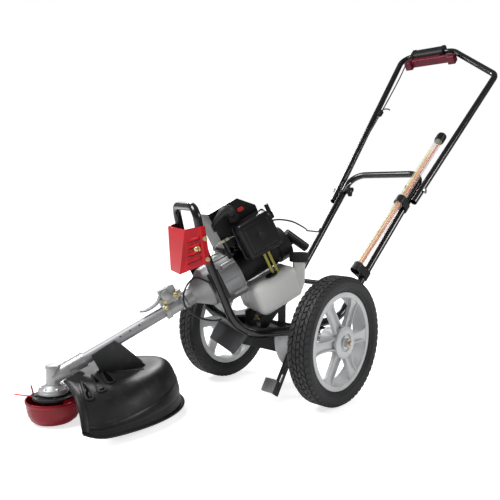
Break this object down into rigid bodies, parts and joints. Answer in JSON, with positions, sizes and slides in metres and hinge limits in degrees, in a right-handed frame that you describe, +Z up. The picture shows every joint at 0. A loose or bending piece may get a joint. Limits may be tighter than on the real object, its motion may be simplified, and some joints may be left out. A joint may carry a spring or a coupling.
{
  "type": "wheeled string trimmer",
  "caption": "Walk-behind string trimmer: two-wheeled carriage, folding handle, swivelling engine cradle, sloping boom with hooded line head.",
  "frame": {"origin": "middle of the box round the whole part without its free cords, on the ground", "axes": "-Y forward, +X to the operator's left, +Z up"},
  "size_m": [0.5902, 1.6058, 1.0431],
  "materials": {
    "black_paint": "satin black powder coat",
    "red_paint": "gloss red paint",
    "grey_paint": "satin dark grey",
    "steel": "zinc plated",
    "brassy": "yellow zinc",
    "alloy": "cast",
    "dark_alloy": "cast, dark",
    "boom_alloy": "drawn tube",
    "muffler_steel": "heat blackened",
    "tyre": "matt rubber",
    "rim_plastic": "silver grey",
    "black_plastic": "black",
    "gloss_black": "black",
    "white_plastic": "translucent white",
    "maroon_plastic": "dark red",
    "red_plastic": "red",
    "clear_plastic": "clear tube",
    "rubber": "black",
    "fuel_rubber": "yellow green",
    "nylon": "nylon line",
    "orange_nylon": "nylon line"
  },
  "bodies": {
    "carriage": {"axle": "steel", "carriage_frame": "black_paint", "frame_bolts": "steel", "lower_handle": "black_paint", "swivel_pin": "steel", "storage_tube": "clear_plastic", "storage_clips": "black_plastic", "spare_lines": "orange_nylon", "throttle_cable_run": "rubber", "throttle_loop": "rubber"},
    "pedal": {"pedal_lever": "steel"},
    "lock": {"lock_pin": "steel"},
    "left_wheel": {"left_tyre": "tyre", "left_rim": "rim_plastic"},
    "right_wheel": {"right_tyre": "tyre", "right_rim": "rim_plastic"},
    "upper": {"upper_handle": "black_paint", "grip_housing": "black_plastic", "throttle_cable_top": "rubber"},
    "bail": {"throttle_bail": "maroon_plastic"},
    "left_knob": {"left_knob": "black_plastic"},
    "right_knob": {"right_knob": "black_plastic"},
    "store_cap": {"storage_cap": "black_plastic"},
    "front": {"cradle_frame": "black_paint", "guard_panel": "red_paint", "front_bolts": "brassy", "skid_plate": "grey_paint", "engine_mount": "black_paint", "crankcase": "alloy", "cylinder_block": "dark_alloy", "piston": "alloy", "top_cover": "gloss_black", "spark_plug": "rubber", "carburettor": "alloy", "filter_cover": "black_plastic", "fuel_tank": "white_plastic", "fuel_lines": "fuel_rubber", "muffler": "muffler_steel", "fan_housing": "alloy", "starter_cover": "black_plastic", "clutch_bell": "alloy", "boom": "boom_alloy", "boom_clamp": "alloy", "bearings": "steel", "gearbox_housing": "alloy", "debris_shield": "black_plastic", "shield_bracket": "black_paint", "front_cable": "rubber"},
    "crank": {"crankshaft": "steel", "flywheel": "dark_alloy"},
    "drive": {"drive_shaft": "steel"},
    "head": {"output_spindle": "steel", "line_holder": "black_plastic", "glide_bowl": "red_plastic", "cutting_lines": "nylon"},
    "starter": {"starter_grip": "black_plastic"},
    "pulley": {"starter_pulley": "white_plastic"},
    "filler_cap": {"fuel_cap": "black_plastic"},
    "choke": {"choke_lever": "black_plastic"},
    "stop": {"stop_button": "red_plastic"}
  },
  "joints": [
    {"name": "left_wheel_spin", "type": "hinge", "parent": "carriage", "child": "left_wheel", "pos_m": [0.25007, -0.24709, 0.1524], "axis": [1, 0, 0], "continuous": true},
    {"name": "right_wheel_spin", "type": "hinge", "parent": "carriage", "child": "right_wheel", "pos_m": [-0.10533, -0.24709, 0.1524], "axis": [1, 0, 0], "continuous": true},
    {"name": "front_swivel", "type": "hinge", "parent": "carriage", "child": "front", "pos_m": [0.07237, -0.30109, 0.163], "axis": [0, 0, 1], "range_deg": [0, 52]},
    {"name": "handle_fold", "type": "hinge", "parent": "carriage", "child": "upper", "pos_m": [0.07237, 0.23291, 0.501], "axis": [1, 0, 0], "range_deg": [0, 120]},
    {"name": "pedal_press", "type": "hinge", "parent": "carriage", "child": "pedal", "pos_m": [0.13737, -0.24709, 0.1524], "axis": [1, 0, 0], "range_deg": [0, 8], "stiffness_Nm_per_rad": 20, "springref_deg": -11.46},
    {"name": "lock_draw", "type": "slide", "parent": "carriage", "child": "lock", "axis": [0, 0, 1], "range_m": [-0.0065, 0]},
    {"name": "left_knob_turn", "type": "hinge", "parent": "carriage", "child": "left_knob", "pos_m": [0.18437, 0.23291, 0.501], "axis": [1, 0, 0], "range_deg": [0, 720]},
    {"name": "right_knob_turn", "type": "hinge", "parent": "carriage", "child": "right_knob", "pos_m": [-0.03963, 0.23291, 0.501], "axis": [1, 0, 0], "range_deg": [0, 720]},
    {"name": "store_cap_pull", "type": "slide", "parent": "carriage", "child": "store_cap", "axis": [0.0847, 0.7228, 0.6859], "range_m": [0, 0.04]},
    {"name": "bail_squeeze", "type": "hinge", "parent": "upper", "child": "bail", "pos_m": [0.07237, 0.75772, 0.98523], "axis": [-1, 0, 0], "range_deg": [0, 7], "stiffness_Nm_per_rad": 2, "springref_deg": -11.46},
    {"name": "crank_spin", "type": "hinge", "parent": "front", "child": "crank", "pos_m": [0.06378, -0.31869, 0.33728], "axis": [-0.3902, -0.8001, -0.4555], "continuous": true},
    {"name": "head_spin", "type": "hinge", "parent": "front", "child": "head", "pos_m": [-0.14314, -0.74293, 0.06], "axis": [0, 0, 1], "continuous": true},
    {"name": "drive_spin", "type": "hinge", "parent": "front", "child": "drive", "pos_m": [-0.04471, -0.54112, 0.21064], "axis": [-0.3902, -0.8001, -0.4555], "continuous": true},
    {"name": "starter_pull", "type": "slide", "parent": "front", "child": "starter", "axis": [0.3902, 0.8001, 0.4555], "range_m": [0, 0.25]},
    {"name": "pulley_turn", "type": "hinge", "parent": "front", "child": "pulley", "pos_m": [0.09149, -0.26188, 0.36962], "axis": [-0.3902, -0.8001, -0.4555], "range_deg": [-1, 460]},
    {"name": "filler_cap_turn", "type": "hinge", "parent": "front", "child": "filler_cap", "pos_m": [0.15249, -0.26228, 0.346], "axis": [0, 0, 1], "range_deg": [0, 360]},
    {"name": "choke_turn", "type": "hinge", "parent": "front", "child": "choke", "pos_m": [0.12395, -0.3322, 0.44117], "axis": [-0.8988, 0.4384, 0], "range_deg": [0, 60]},
    {"name": "stop_press", "type": "slide", "parent": "front", "child": "stop", "axis": [-0.8988, 0.4384, 0], "range_m": [0, 0.003], "stiffness_N_per_m": 400, "springref_m": -0.002}
  ],
  "couplings": [
    {"joint": "lock_draw", "follows": "pedal_press", "m_per_rad": -0.043},
    {"joint": "drive_spin", "follows": "head_spin", "ratio": -1.5},
    {"joint": "pulley_turn", "follows": "starter_pull", "rad_per_m": 31.25}
  ]
}
